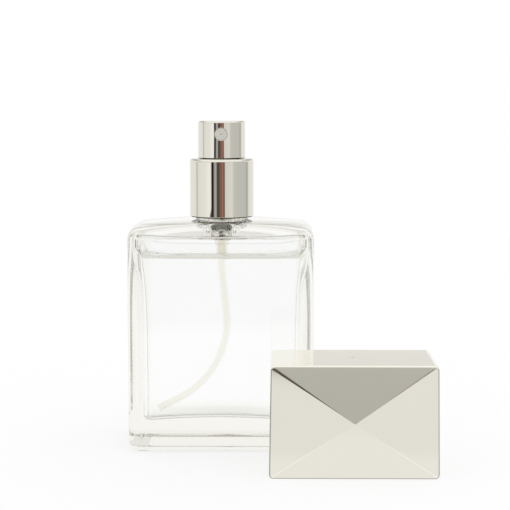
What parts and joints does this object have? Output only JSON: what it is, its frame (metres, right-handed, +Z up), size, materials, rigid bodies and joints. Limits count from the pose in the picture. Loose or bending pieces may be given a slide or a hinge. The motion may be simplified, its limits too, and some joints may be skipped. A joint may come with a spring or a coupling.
{
  "type": "aftershave bottle",
  "caption": "Thick-walled rectangular clear glass spray bottle with a crimped mist pump, bright collar and button, and a faceted box-shaped lift-off cap standing beside it.",
  "frame": {"origin": "centre of the bottle's foot, on the surface that it stands on", "axes": "+Z up along the pump; -Y is the front, where the nozzle points; +X to the right, where the cap stands"},
  "size_m": [0.0808, 0.0578, 0.0887],
  "materials": {
    "clear_glass": "polished clear flint glass",
    "clear_liquid": "clear liquid",
    "bright_metal": "mirror-bright silver",
    "metallised_plastic": "vacuum metallised, mirror-bright silver",
    "natural_plastic": "translucent natural",
    "dark_plastic": "dark, smooth",
    "nozzle_plastic": "silver grey, smooth",
    "seal_rubber": "matte",
    "spring_steel": "drawn bright",
    "bare_aluminium": "bright drawn"
  },
  "bodies": {
    "bottle": {"glass_bottle": "clear_glass", "aftershave_liquid": "clear_liquid", "dip_tube": "natural_plastic", "pump_housing": "natural_plastic", "return_spring": "spring_steel", "neck_gasket": "seal_rubber", "crimp_ferrule": "bare_aluminium", "collar_liner": "dark_plastic", "collar_shell": "bright_metal", "stem_guide": "natural_plastic", "stem_seal": "seal_rubber"},
    "inlet_ball": {"check_ball": "spring_steel"},
    "pump_stem": {"valve_stem": "natural_plastic", "piston": "natural_plastic"},
    "needle": {"valve_rod": "natural_plastic"},
    "spray_head": {"actuator_core": "natural_plastic", "actuator_shell": "bright_metal", "nozzle_insert": "nozzle_plastic"},
    "cap": {"cap_shell": "metallised_plastic", "cap_liner": "natural_plastic"}
  },
  "joints": [
    {"name": "pump_stroke", "type": "slide", "parent": "bottle", "child": "pump_stem", "axis": [0, 0, -1], "range_m": [0, 0.0036], "stiffness_N_per_m": 900, "springref_m": -0.004, "deforming": ["return_spring"]},
    {"name": "spray_swivel", "type": "hinge", "parent": "pump_stem", "child": "spray_head", "pos_m": [0, 0, 0.08], "axis": [0, 0, 1], "continuous": true},
    {"name": "needle_slip", "type": "slide", "parent": "pump_stem", "child": "needle", "axis": [0, 0, -1], "range_m": [0, 0.0004], "stiffness_N_per_m": 900, "springref_m": -0.004},
    {"name": "ball_lift", "type": "slide", "parent": "bottle", "child": "inlet_ball", "axis": [0, 0, 1], "range_m": [0, 0.00045]},
    {"name": "cap_lift", "type": "slide", "parent": "bottle", "child": "cap", "axis": [0, 0, 1], "range_m": [0, 0.095]}
  ]
}
